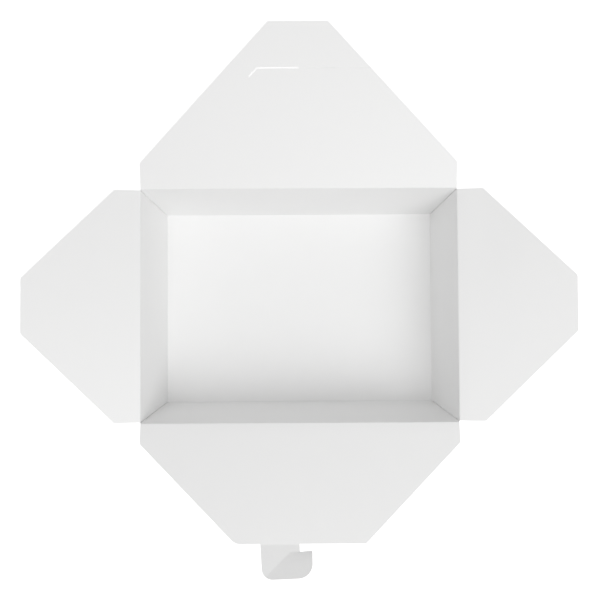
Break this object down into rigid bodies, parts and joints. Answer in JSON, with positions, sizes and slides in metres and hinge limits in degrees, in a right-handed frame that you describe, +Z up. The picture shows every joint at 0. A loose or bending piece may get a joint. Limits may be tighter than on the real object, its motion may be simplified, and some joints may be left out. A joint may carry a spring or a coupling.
{
  "type": "takeout food box",
  "caption": "Open folded paperboard takeout box: tapering tray with web corners, lid flaps that turn at the rim and a hooked locking tab.",
  "frame": {"origin": "centre of the floor's underside, where the box rests", "axes": "+X along the box's long side, +Y towards the back flap with the slot, +Z up"},
  "size_m": [0.3654, 0.3596, 0.0985],
  "materials": {
    "coated_board": "white coated paperboard, matt with a soft sheen inside"
  },
  "bodies": {
    "tray": {"tray": "coated_board"},
    "back_flap": {"back_flap": "coated_board"},
    "front_flap": {"front_flap": "coated_board"},
    "left_flap": {"left_flap": "coated_board"},
    "right_flap": {"right_flap": "coated_board"},
    "locking_tab": {"locking_tab": "coated_board"}
  },
  "joints": [
    {"name": "back_crease", "type": "hinge", "parent": "tray", "child": "back_flap", "pos_m": [0, 0.07927, 0.064], "axis": [1, 0, 0], "range_deg": [-49, 165]},
    {"name": "front_crease", "type": "hinge", "parent": "tray", "child": "front_flap", "pos_m": [0, -0.07927, 0.064], "axis": [-1, 0, 0], "range_deg": [-51, 164]},
    {"name": "left_crease", "type": "hinge", "parent": "tray", "child": "left_flap", "pos_m": [-0.10764, 0, 0.0631], "axis": [0, 1, 0], "range_deg": [-65, 165]},
    {"name": "right_crease", "type": "hinge", "parent": "tray", "child": "right_flap", "pos_m": [0.10764, 0, 0.0631], "axis": [0, -1, 0], "range_deg": [-65, 165]},
    {"name": "tab_crease", "type": "hinge", "parent": "front_flap", "child": "locking_tab", "pos_m": [0, -0.15575, 0.08449], "axis": [-1, 0, 0], "range_deg": [-14, 76]}
  ]
}
